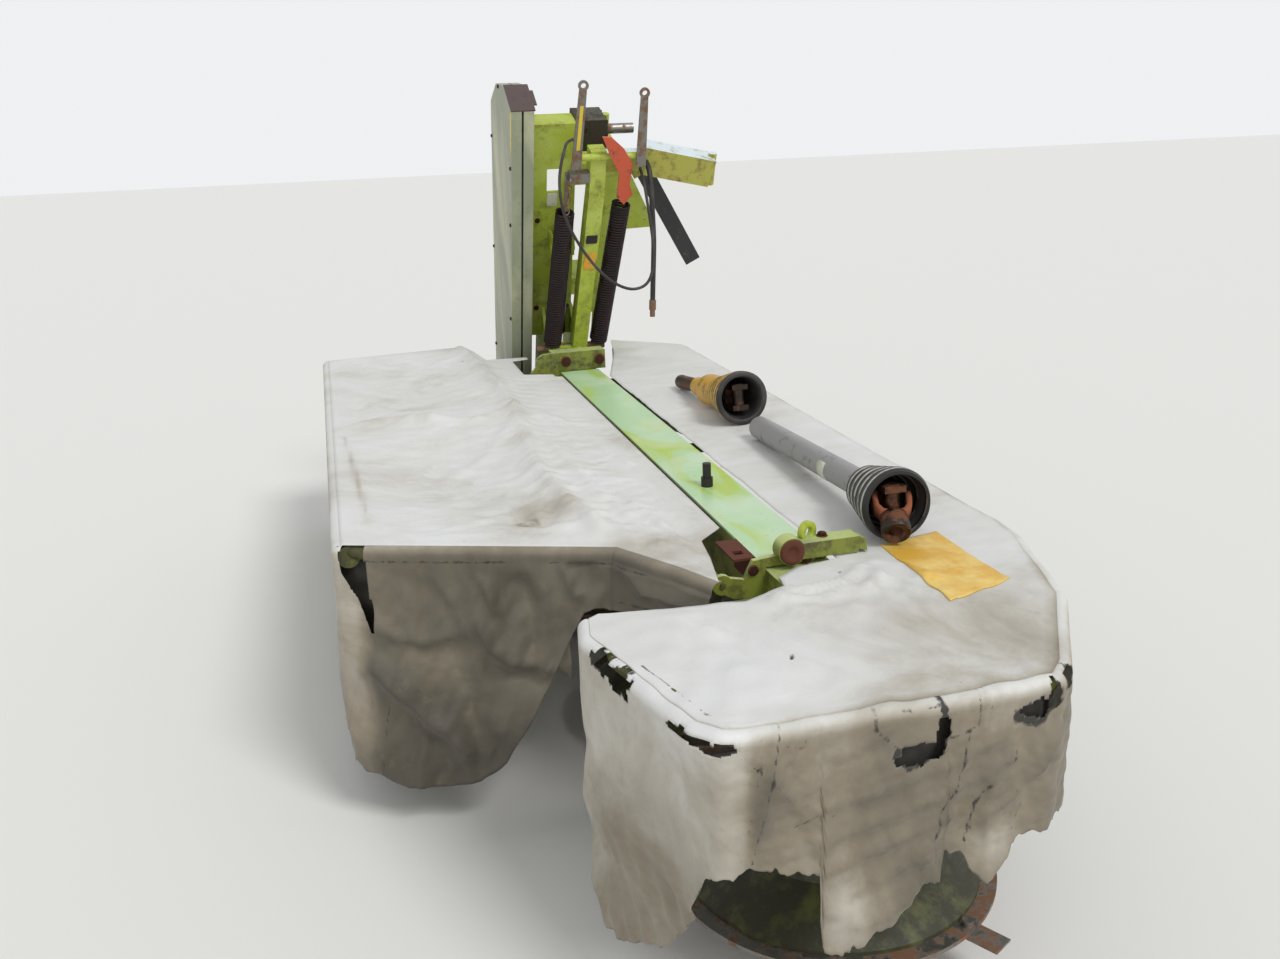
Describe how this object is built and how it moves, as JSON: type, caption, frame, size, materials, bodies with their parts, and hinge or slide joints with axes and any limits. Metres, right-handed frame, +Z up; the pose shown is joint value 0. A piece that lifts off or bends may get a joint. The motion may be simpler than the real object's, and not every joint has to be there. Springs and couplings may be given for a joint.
{
  "type": "drum mower",
  "caption": "Wide trailed drum mower parked with its drive and hitch arm folded up, canvas guards round the drums.",
  "frame": {"origin": "middle of the footprint, on the ground", "axes": "+Z up; +X is the way the mower travels at work; +Y runs along the cutter bar towards the hitch arm"},
  "size_m": [1.4185, 3.3983, 1.6342],
  "materials": {
    "black_paint": "scuffed black paint",
    "black_plastic": "black moulded plastic",
    "brown_cap": "dark brown end cap",
    "canvas": "pale coated canvas, creased and dusty",
    "cast_housing": "dirty cast gearbox housing",
    "chromed_rod": "chromed cylinder rod",
    "cover_plastic": "bleached green-grey moulded cover",
    "dark_spring_steel": "dark brown spring steel",
    "faded_green_paint": "sun-bleached pale green paint",
    "greasy_steel": "dark greasy forged steel",
    "green_paint": "faded lime green paint over steel",
    "grey_plastic": "grey moulded guard tube",
    "hose_rubber": "black hydraulic hose",
    "orange_paint": "chipped orange-red paint",
    "rusty_steel": "rusted flat steel",
    "worn_steel": "worn bare steel with light rust",
    "yellow_plastic": "aged yellow guard plastic"
  },
  "bodies": {
    "bar": {"beam_top_plate": "faded_green_paint", "far_bracket": "green_paint", "filler_plug": "black_plastic", "gear_beam": "green_paint", "guard_arm": "green_paint", "hinge_fork": "green_paint", "latch_plate": "rusty_steel", "lifting_eye": "worn_steel", "near_bracket": "green_paint", "outer_canvas": "canvas", "outer_guard_frame": "green_paint", "shaft_inner_bell": "yellow_plastic", "shaft_inner_sleeve": "yellow_plastic", "shaft_inner_tube": "greasy_steel", "shaft_inner_yoke": "greasy_steel", "shaft_outer_bell": "black_plastic", "shaft_outer_tube": "grey_plastic", "shaft_outer_yoke": "greasy_steel"},
    "cutter_1": {"drum_1": "green_paint", "knife_ring_1": "worn_steel"},
    "skid_body_1": {"skid_1": "worn_steel"},
    "cutter_2": {"drum_2": "green_paint", "knife_ring_2": "worn_steel"},
    "skid_body_2": {"skid_2": "worn_steel"},
    "cutter_3": {"drum_3": "green_paint", "knife_ring_3": "worn_steel"},
    "skid_body_3": {"skid_3": "worn_steel"},
    "cutter_4": {"drum_4": "green_paint", "knife_ring_4": "worn_steel"},
    "skid_body_4": {"skid_4": "worn_steel"},
    "rear_guard": {"rear_guard_frame": "green_paint", "rear_canvas": "canvas", "rear_near_curtain": "canvas", "rear_side_curtain": "canvas", "rear_far_curtain": "canvas"},
    "arm": {"belt_cover_cap": "brown_cap", "belt_cover_core": "black_plastic", "belt_cover_front": "cover_plastic", "belt_cover_rear": "cover_plastic", "gearbox": "cast_housing", "hanging_hose": "hose_rubber", "hitch_arm": "green_paint", "hooked_bar_front": "worn_steel", "hooked_bar_rear": "worn_steel", "hose_coupler": "worn_steel", "hose_loop": "hose_rubber", "input_shaft": "worn_steel", "link_bracket": "green_paint", "lower_link_tube": "green_paint", "relief_spring_front": "dark_spring_steel", "relief_spring_rear": "dark_spring_steel", "spring_anchor_bar": "worn_steel", "spring_latch": "orange_paint", "spring_yoke": "worn_steel"},
    "leg": {"stand_leg": "black_paint"},
    "cylinder_barrel": {"fold_cylinder_barrel": "black_paint"},
    "cylinder_rod": {"fold_cylinder_rod": "chromed_rod"}
  },
  "joints": [
    {"name": "drum_1_spin", "type": "hinge", "parent": "bar", "child": "cutter_1", "pos_m": [0.164, -1.264, 0.3], "axis": [0, 0, 1], "continuous": true},
    {"name": "drum_2_spin", "type": "hinge", "parent": "bar", "child": "cutter_2", "pos_m": [0.164, -0.494, 0.3], "axis": [0, 0, 1], "continuous": true},
    {"name": "drum_3_spin", "type": "hinge", "parent": "bar", "child": "cutter_3", "pos_m": [0.164, 0.276, 0.3], "axis": [0, 0, 1], "continuous": true},
    {"name": "drum_4_spin", "type": "hinge", "parent": "bar", "child": "cutter_4", "pos_m": [0.164, 1.046, 0.3], "axis": [0, 0, 1], "continuous": true},
    {"name": "skid_1_turn", "type": "hinge", "parent": "bar", "child": "skid_body_1", "pos_m": [0.164, -1.264, 0.06], "axis": [0, 0, 1], "continuous": true},
    {"name": "skid_2_turn", "type": "hinge", "parent": "bar", "child": "skid_body_2", "pos_m": [0.164, -0.494, 0.06], "axis": [0, 0, 1], "continuous": true},
    {"name": "skid_3_turn", "type": "hinge", "parent": "bar", "child": "skid_body_3", "pos_m": [0.164, 0.276, 0.06], "axis": [0, 0, 1], "continuous": true},
    {"name": "skid_4_turn", "type": "hinge", "parent": "bar", "child": "skid_body_4", "pos_m": [0.164, 1.046, 0.06], "axis": [0, 0, 1], "continuous": true},
    {"name": "rear_guard_lift", "type": "hinge", "parent": "bar", "child": "rear_guard", "pos_m": [0.009, 0.021, 0.634], "axis": [0, 1, 0], "range_deg": [0, 50]},
    {"name": "arm_fold", "type": "hinge", "parent": "bar", "child": "arm", "pos_m": [0.171, 1.471, 0.47], "axis": [-1, 0, 0], "range_deg": [0, 105]},
    {"name": "stand_leg_swing", "type": "hinge", "parent": "arm", "child": "leg", "pos_m": [0.449, 1.0271, 1.35707], "axis": [0.8616, -0.1983, 0.4672], "range_deg": [0, 90]},
    {"name": "fold_cylinder_swing", "type": "hinge", "parent": "arm", "child": "cylinder_barrel", "pos_m": [0.171, 1.08703, 1.06747], "axis": [-1, 0, 0], "range_deg": [0, 4]},
    {"name": "fold_cylinder_slide", "type": "slide", "parent": "cylinder_barrel", "child": "cylinder_rod", "axis": [0, 0.4604, -0.8877], "range_m": [0, 0.18]}
  ],
  "couplings": [
    {"joint": "drum_2_spin", "follows": "drum_1_spin", "ratio": -1},
    {"joint": "drum_3_spin", "follows": "drum_1_spin", "ratio": 1},
    {"joint": "drum_4_spin", "follows": "drum_1_spin", "ratio": -1},
    {"joint": "fold_cylinder_swing", "follows": "arm_fold", "ratio": 0.03},
    {"joint": "fold_cylinder_slide", "follows": "arm_fold", "m_per_rad": 0.096}
  ]
}
